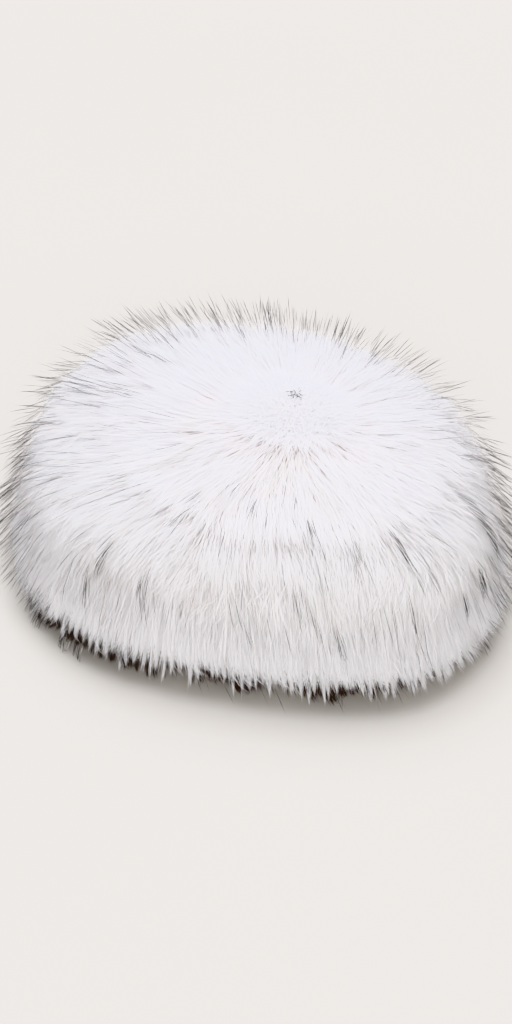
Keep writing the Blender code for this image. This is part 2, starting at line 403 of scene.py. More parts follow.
@dataclass
class FurForm:
    """The smooth outer form that the tips of the white pile reach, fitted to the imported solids' box.

    A place on it is a share of the way down from the whorl, 0, to the foot, 1, and a bearing in radians.

    Attributes:
        low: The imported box's lowest corner.
        high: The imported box's highest corner.
        belly: The height of the widest part.
        hem_tuck: How far the foot draws in under the belly.
        whorl_forward: How far the whorl lies in front of the middle.
        fullness: How square the crown's section is, 2 for an ellipse.
        lobes: The swells of the plan.
        rings: Rings of the grid from whorl to foot.
        columns: Columns of the grid round the hat.
    """

    low: Vector
    high: Vector
    belly: float = 0.058
    hem_tuck: float = 0.004
    whorl_forward: float = 0.026
    fullness: float = 2.15
    lobes: tuple = (Lobe(3, 0.017, 36.0), Lobe(4, 0.028, -11.0))
    rings: int = 240
    columns: int = 360

    def __post_init__(self) -> None:
        """Work out the grids of points, normals and steps."""
        self.shares = np.linspace(0.0, 1.0, self.rings + 1)
        self.bearings = np.linspace(0.0, FULL_TURN, self.columns + 1)
        self.points = self._points()
        self.down = np.gradient(self.points, self.shares, axis=0)
        around = np.gradient(self.points, self.bearings, axis=1)
        around[:, 0] = around[:, -1] = (around[:, 1] + around[:, -2]) / 2
        self.around = around
        normals = unit(np.cross(self.down, self.around))
        normals[0] = unit(normals[1].mean(axis=0))
        self.normals = normals
        cells = np.linalg.norm(np.cross(self.down, self.around), axis=-1)
        self.cell_areas = (cells[:-1, :-1] + cells[1:, 1:]) / 2 * FULL_TURN / self.rings / self.columns

    def _section(self) -> tuple[np.ndarray, np.ndarray]:
        """Work out the section, as shares of reach and heights evenly spaced down it."""
        height = self.high.z - self.low.z
        half_width = (self.high.x - self.low.x) / 2
        turn = np.linspace(0.0, math.pi / 2, 400)
        power = 2 / self.fullness
        foot = turn[1:]
        reach = np.concatenate(
            [np.sin(turn) ** power, 1 - self.hem_tuck / half_width * (1 - np.cos(foot))]
        )
        top = self.belly + (height - self.belly) * np.cos(turn).clip(0.0) ** power
        level = np.concatenate([top, self.belly * (1 - np.sin(foot))])
        steps = np.hypot(np.diff(reach) * half_width, np.diff(level))
        way = np.concatenate([[0.0], np.cumsum(steps)])
        even = self.shares * way[-1]
        return np.interp(even, way, reach), np.interp(even, way, level)

    def _points(self) -> np.ndarray:
        """Work out the grid of points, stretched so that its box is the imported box."""
        reach, level = self._section()
        swell = sum(
            lobe.share * np.cos(lobe.waves * (self.bearings - math.radians(lobe.bearing)))
            for lobe in self.lobes
        )
        grown = reach[:, None] * (1 + swell[None, :] * reach[:, None])
        rise = np.clip(level - self.belly, 0.0, None) / (level[0] - self.belly)
        x = grown * np.cos(self.bearings) * (self.high.x - self.low.x)
        x = (x - x.min()) / (x.max() - x.min()) * (self.high.x - self.low.x) + self.low.x
        y = grown * np.sin(self.bearings)
        y = (y - y.min()) / (y.max() - y.min()) * (self.high.y - self.low.y) + self.low.y
        y = y - self.whorl_forward * rise[:, None] ** 2
        z = np.broadcast_to(level[:, None], x.shape)
        return np.stack([x, y, z], axis=-1)

    def read(self, grid: np.ndarray, share: np.ndarray, bearing: np.ndarray) -> np.ndarray:
        """Read a grid between its points.

        Args:
            grid: One of the form's grids.
            share: Shares of the way down.
            bearing: Bearings in radians.

        Returns:
            The grid's values there.
        """
        row = np.clip(share, 0.0, 1.0) * self.rings
        column = (bearing % FULL_TURN) / FULL_TURN * self.columns
        i = np.minimum(row.astype(int), self.rings - 1)
        j = np.minimum(column.astype(int), self.columns - 1)
        a = (row - i)[..., None]
        b = (column - j)[..., None]
        upper = grid[i, j] * (1 - b) + grid[i, j + 1] * b
        lower = grid[i + 1, j] * (1 - b) + grid[i + 1, j + 1] * b
        return upper * (1 - a) + lower * a

    def scatter(
        self, rng: np.random.Generator, count: int, weight: np.ndarray
    ) -> tuple[np.ndarray, np.ndarray]:
        """Scatter places over the form, evenly by area times a weight.

        Args:
            rng: The random draws.
            count: How many places.
            weight: The weight of each cell of the grid.

        Returns:
            The places' shares and bearings.
        """
        odds = (self.cell_areas * weight).ravel()
        chosen = rng.choice(odds.size, count, p=odds / odds.sum())
        row, column = np.divmod(chosen, self.columns)
        share = (row + rng.random(count)) / self.rings
        bearing = (column + rng.random(count)) / self.columns * FULL_TURN
        return share, bearing

    def cells(self) -> tuple[np.ndarray, np.ndarray]:
        """Give the shares and bearings of the grid's cells."""
        share = (self.shares[:-1] + self.shares[1:]) / 2
        bearing = (self.bearings[:-1] + self.bearings[1:]) / 2
        return np.meshgrid(share, bearing, indexing="ij")


@dataclass
class Drift:
    """A smooth field over the form that waves as it goes, from -1 to 1 or so.

    Attributes:
        rng: The random draws.
        turns: The most waves round the hat.
        falls: The most waves from whorl to foot.
        parts: How many waves are added.
    """

    rng: np.random.Generator
    turns: int
    falls: float
    parts: int = 14

    def __post_init__(self) -> None:
        """Draw the waves."""
        self.waves_round = self.rng.integers(-self.turns, self.turns + 1, self.parts)
        self.waves_down = self.rng.uniform(0.3, self.falls, self.parts) * FULL_TURN
        self.starts = self.rng.uniform(0.0, FULL_TURN, self.parts)

    def at(self, share: np.ndarray, bearing: np.ndarray) -> np.ndarray:
        """Read the field at places on the form."""
        total = np.zeros(np.shape(share))
        for turns, falls, start in zip(self.waves_round, self.waves_down, self.starts):
            total = total + np.sin(turns * bearing + falls * share + start)
        return total * math.sqrt(2 / self.parts)


class LockMap:
    """Seeds of the locks, or of the tufts in them, that neighbouring strands draw together into."""

    def __init__(self, form: FurForm, rng: np.random.Generator, spacing: float) -> None:
        """Scatter the seeds.

        Args:
            form: The fur's form.
            rng: The random draws.
            spacing: The distance between seeds.
        """
        self.form = form
        everywhere = np.ones_like(form.cell_areas)
        count = int(form.cell_areas.sum() / spacing**2)
        self.share, self.bearing = form.scatter(rng, count, everywhere)
        self.tree = kdtree.KDTree(count)
        for number, point in enumerate(form.read(form.points, self.share, self.bearing)):
            self.tree.insert(point, number)
        self.tree.balance()

    def nearest(self, share: np.ndarray, bearing: np.ndarray) -> np.ndarray:
        """Find the seed nearest to each place."""
        points = self.form.read(self.form.points, share, bearing)
        return np.array([self.tree.find(point)[1] for point in points])


class StrandShape(Enum):
    """The two cross-sections that a strand is made with."""

    BLADE = "blade"
    SPINE = "spine"


@dataclass
class StrandModel:
    """One strand, modelled upright with a length and a half width of 1, to be laid along many paths.

    Attributes:
        shape: A flat blade, or a closed spine of three sides.
        stations: Shares of the length at which it has a cross-section, the last one its point.
        widths: Its half width at each of them.
    """

    shape: StrandShape
    stations: tuple
    widths: tuple

    def __post_init__(self) -> None:
        """Model the strand and read its points and faces."""
        mesh = bmesh.new()
        if self.shape is StrandShape.BLADE:
            self._model_blade(mesh)
        else:
            self._model_spine(mesh)
        mesh.verts.index_update()
        mesh.verts.ensure_lookup_table()
        places = np.array([v.co for v in mesh.verts])
        self.station = np.rint(places[:, 2]).astype(int)
        self.across = places[:, 0]
        self.out = places[:, 1]
        self.corners = np.array([v.index for f in mesh.faces for v in f.verts])
        self.face_sizes = np.array([len(f.verts) for f in mesh.faces])
        mesh.free()

    def _model_blade(self, mesh: bmesh.types.BMesh) -> None:
        """Extrude an edge from station to station and close the last one to a point."""
        left = mesh.verts.new((-1.0, 0.0, 0.0))
        right = mesh.verts.new((1.0, 0.0, 0.0))
        edges = [mesh.edges.new((left, right))]
        for _ in self.stations[1:]:
            grown = bmesh.ops.extrude_edge_only(mesh, edges=edges)["geom"]
            verts = [g for g in grown if isinstance(g, bmesh.types.BMVert)]
            edges = [g for g in grown if isinstance(g, bmesh.types.BMEdge)]
            bmesh.ops.translate(mesh, vec=(0.0, 0.0, 1.0), verts=verts)
        point = (0.0, 0.0, float(len(self.stations) - 1))
        bmesh.ops.pointmerge(mesh, verts=verts, merge_co=point)
        bmesh.ops.recalc_face_normals(mesh, faces=mesh.faces)

    def _model_spine(self, mesh: bmesh.types.BMesh) -> None:
        """Extrude a triangle from station to station and close the last one to a point."""
        bmesh.ops.create_circle(mesh, cap_ends=True, segments=3, radius=1.0)
        faces = list(mesh.faces)
        for _ in self.stations[1:]:
            grown = bmesh.ops.extrude_face_region(mesh, geom=faces)["geom"]
            verts = [g for g in grown if isinstance(g, bmesh.types.BMVert)]
            bmesh.ops.delete(mesh, geom=faces, context="FACES_ONLY")
            faces = [g for g in grown if isinstance(g, bmesh.types.BMFace)]
            bmesh.ops.translate(mesh, vec=(0.0, 0.0, 1.0), verts=verts)
        point = (0.0, 0.0, float(len(self.stations) - 1))
        bmesh.ops.pointmerge(mesh, verts=verts, merge_co=point)
        bmesh.ops.holes_fill(mesh, edges=[e for e in mesh.edges if e.is_boundary])
        bmesh.ops.recalc_face_normals(mesh, faces=mesh.faces)


PILE_STRAND = StrandModel(
    shape=StrandShape.BLADE,
    stations=(0.0, 0.36, 0.70, 1.0),
    widths=(0.8, 1.0, 0.85, 0.0),
)
GUARD_STRAND = StrandModel(
    shape=StrandShape.SPINE,
    stations=(0.0, 0.50, 0.80, 1.0),
    widths=(0.55, 0.9, 1.0, 0.0),
)


@dataclass(frozen=True)
class Growth:
    """How the strands of one coat grow.

    Attributes:
        length: A strand's length along the coat.
        length_vary: How much that varies, as a share.
        half_width: Half a strand's greatest width.
        depth: How far below the coat its root lies.
        inset: How far below the outer form the whole coat lies.
        lie: How quickly it bends over to lie along the coat, 1 for a slow and 3 for a quick bend.
        sunk: How far below the outer form the deepest strands of the coat lie.
        lift: How far its tip stands out of the coat at most.
        lift_late: How late along the strand the tip lifts.
        lift_rare: How few of the tips lift that far, 1 for an even spread.
        splay: How much of a length that meets the floor spreads out over it.
        reach: How far out it spreads at most.
        lock_pull: How far the strands of a lock draw together at the tips, from 0 to 1.
        tuft_pull: How far those of a tuft do.
        lock_crown: How much higher the middle of a lock lies than its edges.
        sway: How far the coat's drift carries a tip to the side.
        stray: How far a tip strays to the side by itself.
        twist: How far a blade may turn about its length.
        soften: How far the shading turns to the side over a lock.
        waver: How far a strand waves to the side along its length.
        points: How far the hem's strands draw together into its points, from 0 to 1.
        muss: How far a tip strays in any direction.
        flare: The share down where strands begin to hang free of the coat and spread.
        lowest: The share down that no tip passes.
        ragged: How much that differs from point to point of the hem.
        straight: How far a strand is straightened, from 0 to 1.
        brighten: How far the shading turns up on the wall.
        point_shift: How far beside the points they draw together, in shares of a point.
    """

    length: float = 0.050
    length_vary: float = 0.18
    half_width: float = 0.00022
    depth: float = 0.015
    inset: float = 0.003
    lie: float = 2.4
    sunk: float = 0.0026
    lift: float = 0.0055
    lift_late: float = 2.4
    lift_rare: float = 3.0
    splay: float = 0.7
    reach: float = 0.009
    lock_pull: float = 0.45
    tuft_pull: float = 0.60
    lock_crown: float = 0.0020
    sway: float = 0.010
    stray: float = 0.0035
    twist: float = 18.0
    soften: float = 0.40
    waver: float = 0.0004
    points: float = 0.0
    muss: float = 0.0
    flare: float = 0.90
    lowest: float = 1.0
    ragged: float = 0.0
    straight: float = 0.0
    brighten: float = 0.38
    point_shift: float = 0.0


@dataclass
class Paths:
    """The lines that a coat's strands are laid along, one row a strand and one column a station.

    Attributes:
        points: The lines' points.
        outward: The shading directions there.
        side: The directions across the blades.
        flat: The directions that the blades face.
        half_width: Each strand's greatest half width.
    """

    points: np.ndarray
    outward: np.ndarray
    side: np.ndarray
    flat: np.ndarray
    half_width: np.ndarray


@dataclass(frozen=True)
class Swell:
    """A part of the hem that is combed out or tucked in.

    Attributes:
        bearing: Its middle in degrees.
        spread: How far it reaches to each side, in degrees.
        height: How far it stands out, below 0 where it is tucked in.
    """

    bearing: float
    spread: float
    height: float


HEM_SWELLS = (
    Swell(bearing=168.0, spread=20.0, height=0.0065),
    Swell(bearing=225.0, spread=36.0, height=-0.0030),
)


@dataclass
class Coat:
    """What all the strands of the hat share: the form, its locks and tufts, and how the coat drifts.

    Attributes:
        form: The fur's form.
        lock_spacing: The distance between locks.
        tuft_spacing: The distance between the tufts in them.
        lock_size: The half width over which a lock is rounded.
        pole_share: The share of the way down from the whorl at which locks and tufts are full.
        overhang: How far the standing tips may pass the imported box.
        lock_vary: How much a strand's length differs from lock to lock, as a share.
        tuft_vary: How much it differs from tuft to tuft, as a share.
        lock_relief: How much higher one lock lies than another.
        pole_length: The share of its length that a strand has at the whorl.
        pole_depth: The share of its depth that a root has at the whorl.
        floor_fuzz: How far above the floor a tip that would pass into it may end.
        lock_late: How late along its length a strand draws in to its lock.
        tuft_late: How late it draws in to its tuft.
        sway_late: How late it turns to the side with the drift of the coat.
        stray_late: How late it strays by itself.
        own_lean: How much a tuft's own lean adds to that drift.
        waver_turn: How far round the waver goes along a strand, in radians.
        point_fall: How much shorter the strands are beside a point of the hem.
        near_coat: How much of a mussed tip's way out of the coat is taken back.
        least_room: The share of the room outside the coat that every tip may use.
        shade_play: How much the shading differs from strand to strand.
        shade_ahead: How far it turns to the tip.
        width_vary: How much a strand's width varies, as a share.
        hem_points: How many points the hem's white locks end in.
        hem_swells: Where the hem is combed out or tucked in.
        sweep_slope: How far to the side the front is combed, as a slope.
        sweep_bearing: The bearing where it is combed so most.
        sweep_spread: How far that reaches to each side, in degrees.
    """

    form: FurForm
    lock_spacing: float = 0.017
    tuft_spacing: float = 0.0050
    lock_size: float = 0.011
    pole_share: float = 0.16
    overhang: float = 0.0084
    lock_vary: float = 0.12
    tuft_vary: float = 0.10
    lock_relief: float = 0.0012
    pole_length: float = 0.30
    pole_depth: float = 0.35
    floor_fuzz: float = 0.0030
    lock_late: float = 1.4
    tuft_late: float = 1.2
    sway_late: float = 1.5
    stray_late: float = 1.8
    own_lean: float = 0.25
    waver_turn: float = 5.0
    point_fall: float = 1.2
    near_coat: float = 0.8
    least_room: float = 0.75
    shade_play: float = 0.18
    shade_ahead: float = 0.15
    width_vary: float = 0.25
    hem_points: int = 210
    sweep_slope: float = 0.38
    sweep_bearing: float = 212.0
    sweep_spread: float = 32.0
    hem_swells: tuple = HEM_SWELLS

    def __post_init__(self) -> None:
        """Scatter the locks and tufts and draw the drifts."""
        rng = np.random.default_rng(SEED)
        self.locks = LockMap(self.form, rng, self.lock_spacing)
        self.tufts = LockMap(self.form, rng, self.tuft_spacing)
        self.tuft_lock = self.locks.nearest(self.tufts.share, self.tufts.bearing)
        self.broad_drift = Drift(rng, turns=6, falls=2.0)
        self.fine_drift = Drift(rng, turns=17, falls=4.0)
        self.lock_height = rng.uniform(-1.0, 1.0, len(self.locks.share))
        self.lock_length = rng.uniform(-1.0, 1.0, len(self.locks.share))
        self.tuft_length = rng.uniform(-1.0, 1.0, len(self.tufts.share))
        self.tuft_lean = rng.normal(0.0, 1.0, len(self.tufts.share))
        self.tuft_tint = rng.uniform(-1.0, 1.0, len(self.tufts.share))
        steps = np.arange(self.hem_points) + rng.uniform(-0.3, 0.3, self.hem_points)
        self.point_bearing = steps / self.hem_points * FULL_TURN
        self.point_length = rng.uniform(-1.0, 1.0, self.hem_points)

    def nearest_point(self, bearing: np.ndarray) -> tuple[np.ndarray, np.ndarray]:
        """Find the hem's point nearest to each bearing, and how far off it is in shares of a point."""
        place = (bearing % FULL_TURN) / FULL_TURN * self.hem_points
        choices = (np.floor(place).astype(int)[:, None] + np.arange(-1, 3)) % self.hem_points
        apart = wrapped(bearing[:, None] - self.point_bearing[choices])
        best = np.abs(apart).argmin(axis=1)
        rows = np.arange(len(bearing))
        return choices[rows, best], apart[rows, best] / FULL_TURN * self.hem_points

    def hem_shift(self, share: np.ndarray, bearing: np.ndarray) -> np.ndarray:
        """Work out how far the hem is combed out or tucked in at places on the form."""
        total = np.zeros(np.shape(share))
        for swell in self.hem_swells:
            apart = np.degrees(wrapped(bearing - math.radians(swell.bearing)))
            total = total + swell.height * np.exp(-((apart / swell.spread) ** 2))
        return total * smooth_step(0.55, 0.92, share)

    def sweep(self, share: np.ndarray, bearing: np.ndarray) -> np.ndarray:
        """Work out the slope at which the coat is combed to the side at places on the form."""
        apart = np.degrees(wrapped(bearing - math.radians(self.sweep_bearing)))
        slope = self.sweep_slope * np.exp(-((apart / self.sweep_spread) ** 2))
        return slope * smooth_step(0.10, 0.40, share)

    def room(self, share: np.ndarray, bearing: np.ndarray) -> np.ndarray:
        """Measure how far a tip may stand out at places on the form before it leaves the coat's box."""
        points = self.form.read(self.form.points, share, bearing)
        normals = self.form.read(self.form.normals, share, bearing)
        low = np.array(self.form.low) - self.overhang
        high = np.array(self.form.high) + self.overhang
        wall = np.where(normals > 0, high, low)
        away = (wall - points) / np.where(np.abs(normals) < 1e-3, 1e-3, normals)
        away[:, 2] = np.where(normals[:, 2] > 1e-3, away[:, 2], 1.0)
        return np.clip(np.abs(away).min(axis=1), 0.0, None)

    def grow(
        self,
        rng: np.random.Generator,
        share: np.ndarray,
        bearing: np.ndarray,
        growth: Growth,
        stations: tuple,
    ) -> Paths:
        """Work out the paths of strands from their roots.

        Args:
            rng: The random draws.
            share: The roots' shares of the way down.
            bearing: The roots' bearings.
            growth: How the strands grow.
            stations: Shares of a strand's length to work out.

        Returns:
            The strands' paths.
        """
        form = self.form
        count = len(share)
        along = np.array(stations)[None, :]
        tuft = self.tufts.nearest(share, bearing)
        lock = self.tuft_lock[tuft]
        near_pole = smooth_step(0.02, self.pole_share, share)
        lock_share = self.locks.share[lock]
        tuft_share = self.tufts.share[tuft]
        lock_bearing = self.locks.bearing[lock]
        tuft_bearing = self.tufts.bearing[tuft]

        # How far down each station lies, as the locks and tufts draw together.
        fall = np.linalg.norm(form.read(form.down, share, bearing), axis=-1)
        length = growth.length * (1 + growth.length_vary * rng.uniform(-1, 1, count))
        play = self.lock_vary * self.lock_length[lock] + self.tuft_vary * self.tuft_length[tuft]
        length = length * (1 + play)
        whole = self.pole_length + (1 - self.pole_length) * smooth_step(0.0, 0.13, share)
        step = (length * whole / fall)[:, None]
        pull_lock = (growth.lock_pull * near_pole)[:, None] * along**self.lock_late
        pull_tuft = (growth.tuft_pull * near_pole)[:, None] * along**self.tuft_late
        to_tuft = (share - tuft_share)[:, None] * (1 - pull_tuft)
        to_lock = (tuft_share - lock_share)[:, None] * (1 - pull_lock)
        place = lock_share[:, None] + to_lock + to_tuft + step * along
        over = np.maximum(place - growth.flare, 0.0)
        free = growth.lowest - growth.flare
        swept = self.sweep(share, bearing) * length
        around = np.linalg.norm(form.read(form.around, np.clip(share, 0.05, 1), bearing), axis=-1)
        if growth.points > 0:
            point, off = self.nearest_point(bearing + swept / around)
            shape = self.point_length[point] - self.point_fall * np.abs(off)
            free = free + growth.ragged * shape[:, None]
        place = np.where(over > 0, growth.flare + free * np.tanh(over / free), place)

        # The stations' bearings, with the drift of the coat and its sweep to the side.
        turn_tuft = wrapped(bearing - tuft_bearing)[:, None] * (1 - pull_tuft)
        turn_lock = wrapped(tuft_bearing - lock_bearing)[:, None] * (1 - pull_lock)
        facing = lock_bearing[:, None] + turn_lock + turn_tuft
        radius = np.linalg.norm(form.read(form.around, np.clip(place, 0.05, 1), facing), axis=-1)
        drift = self.broad_drift.at(lock_share, lock_bearing) + 0.5 * self.fine_drift.at(
            tuft_share, tuft_bearing
        )
        sideways = growth.sway * drift + self.own_lean * growth.sway * self.tuft_lean[tuft]
        sideways = sideways[:, None] * along**self.sway_late + swept[:, None] * along
        sideways = sideways + growth.stray * rng.normal(0, 1, count)[:, None] * along**self.stray_late
        waver = rng.uniform(0, FULL_TURN, count)[:, None]
        sideways = sideways + growth.waver * np.sin(waver + self.waver_turn * along) * along
        facing = facing + sideways * near_pole[:, None] / radius
        if growth.points > 0:
            gather = growth.points * smooth_step(growth.flare - 0.04, growth.lowest, place)
            target = self.point_bearing[point] + growth.point_shift * FULL_TURN / self.hem_points
            facing = facing + gather * wrapped(target[:, None] - facing)

        # How far above or below the form they lie.
        across = wrapped(facing - lock_bearing[:, None]) * radius
        edge = np.clip(across / self.lock_size, -1.3, 1.3)
        layer = rng.random(count)[:, None] ** 0.8
        lift = growth.lift * rng.random(count)[:, None] ** growth.lift_rare * along**growth.lift_late
        high = growth.lock_crown * (1 - edge**2) + self.lock_relief * self.lock_height[lock][:, None]
        deep = self.pole_depth + (1 - self.pole_depth) * smooth_step(0.0, 0.12, share)
        depth = growth.depth * deep[:, None]
        rise = -growth.inset - depth * (1 - along) ** growth.lie - growth.sunk * layer
        rise = rise + (high - growth.lock_crown) * along + self.hem_shift(place, facing)

        # Their points, kept in the box of the coat and off the floor.
        normal = form.read(form.normals, place, facing)
        spread = growth.reach * np.tanh(over * fall[:, None] * growth.splay / growth.reach)
        room = self.room(place[:, -1], facing[:, -1]) * rng.uniform(self.least_room, 1.0, count)
        most = growth.inset + room
        stand = most[:, None] * np.tanh((lift + spread) / most[:, None])
        points = form.read(form.points, place, facing) + normal * (rise + stand)[..., None]
        wander = rng.normal(0, 1, (count, 1, 3))
        wander = wander - self.near_coat * normal * np.sum(wander * normal, axis=-1, keepdims=True)
        points = points + growth.muss * wander * (along**self.sway_late)[..., None]
        chord = points[:, :1] + (points[:, -1:] - points[:, :1]) * along[..., None]
        points = points + growth.straight * (chord - points)
        low, high = np.array(form.low), np.array(form.high)
        points = np.clip(points, low - self.overhang, high + self.overhang)
        floor = FLOOR_CLEARANCE + self.floor_fuzz * rng.random(count)[:, None] * along
        points[..., 2] = np.maximum(points[..., 2], floor)

        # The directions that the blades face, and their shading.
        forward = unit(np.gradient(points, axis=1))
        side = unit(np.cross(normal, forward))
        flat = unit(np.cross(forward, side))
        turn = np.radians(growth.twist) * rng.uniform(-1, 1, count)[:, None, None]
        side, flat = (
            side * np.cos(turn) + flat * np.sin(turn),
            flat * np.cos(turn) - side * np.sin(turn),
        )
        lean = growth.soften * edge[..., None] + self.shade_play * rng.normal(0, 1, count)[:, None, None]
        upward = growth.brighten * smooth_step(0.30, 0.80, place)[..., None] * UP
        outward = unit(normal + upward + side * lean + self.shade_ahead * forward)
        widths = rng.uniform(1 - self.width_vary, 1 + self.width_vary, count)
        half_width = growth.half_width * widths
        return Paths(points, outward, side, flat, half_width)


def lay_strands(name: str, model: StrandModel, paths: Paths, shade: np.ndarray) -> bpy.types.Object:
    """Lay a copy of a strand along each path and join them all in one mesh.

    Args:
        name: The piece's name.
        model: The strand.
        paths: The paths.
        shade: Each strand's shade, from 0 to 1, which places it on the map.

    Returns:
        The new object, with its place in its mesh.
    """
    count = len(paths.points)
    station = model.station
    reach = paths.half_width[:, None] * np.array(model.widths)[station][None, :]
    verts = paths.points[:, station]
    verts = verts + paths.side[:, station] * (reach * model.across)[..., None]
    verts = verts + paths.flat[:, station] * (reach * model.out)[..., None]
    verts[..., 2] = np.maximum(verts[..., 2], FLOOR_CLEARANCE / 2)
    per_strand = len(station)
    corners = model.corners[None, :] + per_strand * np.arange(count)[:, None]
    sizes = np.tile(model.face_sizes, count)
    starts = np.concatenate([[0], np.cumsum(sizes)[:-1]])

    mesh = bpy.data.meshes.new(name)
    mesh.vertices.add(count * per_strand)
    mesh.vertices.foreach_set("co", verts.astype(np.float32).ravel())
    mesh.loops.add(corners.size)
    mesh.loops.foreach_set("vertex_index", corners.astype(np.int32).ravel())
    mesh.polygons.add(len(sizes))
    mesh.polygons.foreach_set("loop_start", starts.astype(np.int32))
    mesh.update(calc_edges=True)

    column = np.clip(np.rint(shade * (SHADES - 1)), 0, SHADES - 1)
    u = (column[:, None] + 0.5 + HALF_COLUMN * model.across[model.corners][None, :]) / SHADES
    v = np.array(model.stations)[station[model.corners]] + SPINE_RISE * model.out[model.corners]
    v = np.broadcast_to(MAP_LOW + MAP_SPAN * v[None, :], u.shape)
    layer = mesh.uv_layers.new(name=BAKE_MAP)
    layer.uv.foreach_set("vector", np.stack([u, v], axis=-1).astype(np.float32).ravel())

    mesh.shade_smooth()
    mesh.normals_split_custom_set_from_vertices(
        paths.outward[:, station].reshape(-1, 3).astype(np.float32)
    )
    piece = bpy.data.objects.new(name, mesh)
    bpy.context.scene.collection.objects.link(piece)
    return piece


def settle(piece: bpy.types.Object, finish: bpy.types.Material) -> None:
    """Give a finished piece its material and its body.

    Args:
        piece: The piece.
        finish: Its material.
    """
    piece.data.materials.clear()
    piece.data.materials.append(finish)
    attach(piece, BODY)
    triangles = sum(len(p.vertices) - 2 for p in piece.data.polygons)
    LOG.info("%s: %d triangles", piece.name, triangles)


@dataclass(frozen=True)
class Patch:
    """A part of the coat that is one piece.

    Attributes:
        name: The piece's name.
        strands: How many strands it has.
        start: The share of the way down where its roots start.
        end: The share where they end.
        bearing: The middle of its bearings.
        spread: How far it reaches to each side of that, 180 for all round.
        slot: The slot of its finish, which is not used.
        growth: How its strands grow.
    """

    name: str
    strands: int
    start: float
    end: float
    bearing: float
    spread: float
    slot: Slot
    growth: Growth

    def weight(self, form: FurForm) -> np.ndarray:
        """Give 1 for each cell of the form that the patch covers, and 0 elsewhere."""
        share, bearing = form.cells()
        apart = np.abs(wrapped(bearing - math.radians(self.bearing)))
        inside = (share >= self.start) & (share < self.end)
        return (inside & (apart <= math.radians(self.spread))).astype(float)


FRONT_BEARING = 216.0
BACK_BEARING = FRONT_BEARING - 180
HALF_ROUND = 90.0
ALL_ROUND = 180.0
WHORL_GROWTH = Growth(
    length=0.014, half_width=0.00016, depth=0.008, inset=0.0, lie=1.6, sunk=0.0040, lift=0.0,
    lock_pull=0.0, tuft_pull=0.0, lock_crown=0.0, sway=0.0, soften=0.0, twist=25.0, muss=0.0070,
)
CROWN_GROWTH = Growth(
    length=0.036, half_width=0.00016, depth=0.009, lie=1.7, sunk=0.0055, lift=0.003, lock_pull=0.1,
    tuft_pull=0.30, lock_crown=0.0004, sway=0.004, soften=0.10, muss=0.0018, waver=0.0002,
)
SHOULDER_GROWTH = Growth(
    length=0.046, half_width=0.00017, depth=0.018, lie=1.4, sunk=0.0060, lift=0.003, lock_pull=0.15,
    tuft_pull=0.4, lock_crown=0.0006, sway=0.0035, soften=0.2, muss=0.0006, waver=0.0002,
    straight=0.3,
)
SIDE_GROWTH = Growth(
    length=0.048, half_width=0.00017, depth=0.021, lie=1.3, sunk=0.0060, lift=0.005, lock_pull=0.15,
    tuft_pull=0.45, lock_crown=0.0006, sway=0.003, stray=0.0025, soften=0.25, waver=0.0002,
    splay=0.9, reach=0.011, flare=0.78, lowest=0.925, straight=0.5,
)
HEM_GROWTH = Growth(
    length=0.044, length_vary=0.30, half_width=0.00018, depth=0.020, lie=1.2, sunk=0.0035,
    lift=0.005, splay=0.9, reach=0.011, lock_pull=0.15, tuft_pull=0.4, lock_crown=0.0006,
    sway=0.003, stray=0.0010, points=0.85, flare=0.78, lowest=0.955, ragged=0.044, waver=0.0002,
    straight=0.5,
)
FLUFF_GROWTH = Growth(
    length=0.026, length_vary=0.25, half_width=0.00014, depth=0.010, lie=1.1, sunk=0.001,
    lift=0.007, lift_late=1.5, lift_rare=1.0, lock_pull=0.2, tuft_pull=0.35, sway=0.008,
    stray=0.004, twist=80.0, splay=0.9, reach=0.011, flare=0.78, lowest=0.94,
)
WHITE_PATCHES = (
    Patch("whorl_pile_hair", 13000, 0.0, 0.095, 0.0, ALL_ROUND, Slot.CROWN, WHORL_GROWTH),
    Patch("crown_pile_hair", 30000, 0.0, 0.33, 0.0, ALL_ROUND, Slot.CROWN, CROWN_GROWTH),
    Patch(
        "shoulder_pile_hair_front", 27000, 0.33, 0.54, FRONT_BEARING, HALF_ROUND, Slot.SIDE, SHOULDER_GROWTH
    ),
    Patch(
        "shoulder_pile_hair_back", 22000, 0.33, 0.54, BACK_BEARING, HALF_ROUND, Slot.SIDE, SHOULDER_GROWTH
    ),
    Patch("side_pile_hair_front", 25000, 0.54, 0.75, FRONT_BEARING, HALF_ROUND, Slot.SIDE, SIDE_GROWTH),
    Patch("side_pile_hair_back", 20000, 0.54, 0.75, BACK_BEARING, HALF_ROUND, Slot.SIDE, SIDE_GROWTH),
    Patch("hem_fringe_hair", 18000, 0.72, 0.87, 0.0, ALL_ROUND, Slot.HEM, HEM_GROWTH),
    Patch("standing_fluff_hair", 9000, 0.02, 0.88, 0.0, ALL_ROUND, Slot.SIDE, FLUFF_GROWTH),
)


